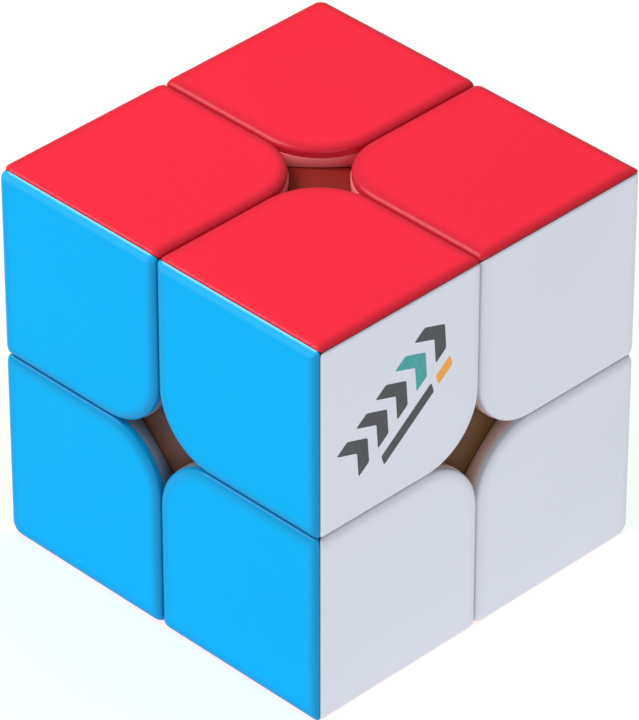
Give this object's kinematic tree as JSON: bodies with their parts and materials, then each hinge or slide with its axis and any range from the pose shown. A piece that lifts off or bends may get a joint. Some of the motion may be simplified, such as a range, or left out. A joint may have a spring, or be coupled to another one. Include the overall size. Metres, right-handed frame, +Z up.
{
  "type": "twisty puzzle cube",
  "caption": "Stickerless pocket-size twisty puzzle cube with layers that turn about three axes, coloured tiles on corner blocks, and a hidden core, centre and edge mechanism.",
  "frame": {"origin": "centre of the cube, where the three turning axes cross", "axes": "+Z up through the red top face, -Y out of the blue front face, +X out of the white right face"},
  "size_m": [0.05, 0.05, 0.05],
  "materials": {
    "red": "satin moulded, coloured through",
    "orange": "satin moulded, coloured through",
    "blue": "satin moulded, coloured through",
    "green": "satin moulded, coloured through",
    "white": "satin moulded, coloured through",
    "yellow": "satin moulded, coloured through",
    "inner_body": "moulded, light grey-white",
    "hidden_shell": "moulded, dull brown",
    "core": "moulded, off-white",
    "steel": "plain, lightly worn"
  },
  "bodies": {
    "base": {"core": "core", "screw_top": "steel", "screw_front": "steel", "screw_right": "steel", "spring_top": "steel", "spring_front": "steel", "spring_right": "steel", "centre_bottom": "hidden_shell", "centre_back": "hidden_shell", "centre_left": "hidden_shell", "edge_bottom_back": "hidden_shell", "edge_bottom_left": "hidden_shell", "edge_back_left": "hidden_shell", "corner_bottom_back_left": "inner_body", "tile_orange_bottom_back_left": "orange", "tile_green_bottom_back_left": "green", "tile_yellow_bottom_back_left": "yellow"},
    "top": {"centre_top": "hidden_shell", "centre_cover_top": "hidden_shell", "edge_top_back": "hidden_shell", "edge_top_left": "hidden_shell", "corner_top_back_left": "inner_body", "tile_red_top_back_left": "red", "tile_green_top_back_left": "green", "tile_yellow_top_back_left": "yellow"},
    "front": {"centre_front": "hidden_shell", "centre_cover_front": "hidden_shell", "edge_front_left": "hidden_shell", "edge_bottom_front": "hidden_shell", "corner_bottom_front_left": "inner_body", "tile_orange_bottom_front_left": "orange", "tile_blue_bottom_front_left": "blue", "tile_yellow_bottom_front_left": "yellow"},
    "right": {"centre_right": "hidden_shell", "centre_cover_right": "hidden_shell", "edge_back_right": "hidden_shell", "edge_bottom_right": "hidden_shell", "corner_bottom_back_right": "inner_body", "tile_orange_bottom_back_right": "orange", "tile_green_bottom_back_right": "green", "tile_white_bottom_back_right": "white"},
    "top_front": {"edge_top_front": "hidden_shell", "corner_top_front_left": "inner_body", "tile_red_top_front_left": "red", "tile_blue_top_front_left": "blue", "tile_yellow_top_front_left": "yellow"},
    "front_right": {"edge_front_right": "hidden_shell", "corner_bottom_front_right": "inner_body", "tile_orange_bottom_front_right": "orange", "tile_blue_bottom_front_right": "blue", "tile_white_bottom_front_right": "white"},
    "right_top": {"edge_top_right": "hidden_shell", "corner_top_back_right": "inner_body", "tile_red_top_back_right": "red", "tile_green_top_back_right": "green", "tile_white_top_back_right": "white"},
    "top_front_right": {"corner_top_front_right": "inner_body", "tile_red_top_front_right": "red", "tile_blue_top_front_right": "blue", "tile_white_top_front_right": "white"}
  },
  "joints": [
    {"name": "top_turn", "type": "hinge", "parent": "base", "child": "top", "pos_m": [0, 0, 0], "axis": [0, 0, 1], "continuous": true},
    {"name": "front_turn", "type": "hinge", "parent": "base", "child": "front", "pos_m": [0, 0, 0], "axis": [0, -1, 0], "range_deg": [-360, 360]},
    {"name": "right_turn", "type": "hinge", "parent": "base", "child": "right", "pos_m": [0, 0, 0], "axis": [1, 0, 0], "range_deg": [-360, 360]},
    {"name": "top_front_turn", "type": "hinge", "parent": "top", "child": "top_front", "pos_m": [0, 0, 0], "axis": [0, -1, 0], "range_deg": [-360, 360]},
    {"name": "front_right_turn", "type": "hinge", "parent": "front", "child": "front_right", "pos_m": [0, 0, 0], "axis": [1, 0, 0], "range_deg": [-360, 360]},
    {"name": "right_top_turn", "type": "hinge", "parent": "right", "child": "right_top", "pos_m": [0, 0, 0], "axis": [0, 0, 1], "continuous": true},
    {"name": "top_front_right_turn", "type": "hinge", "parent": "top_front", "child": "top_front_right", "pos_m": [0, 0, 0], "axis": [1, 0, 0], "range_deg": [-360, 360]}
  ],
  "couplings": [
    {"joint": "top_front_turn", "follows": "front_turn", "ratio": 1},
    {"joint": "front_right_turn", "follows": "right_turn", "ratio": 1},
    {"joint": "right_top_turn", "follows": "top_turn", "ratio": 1},
    {"joint": "top_front_right_turn", "follows": "right_turn", "ratio": 1}
  ]
}
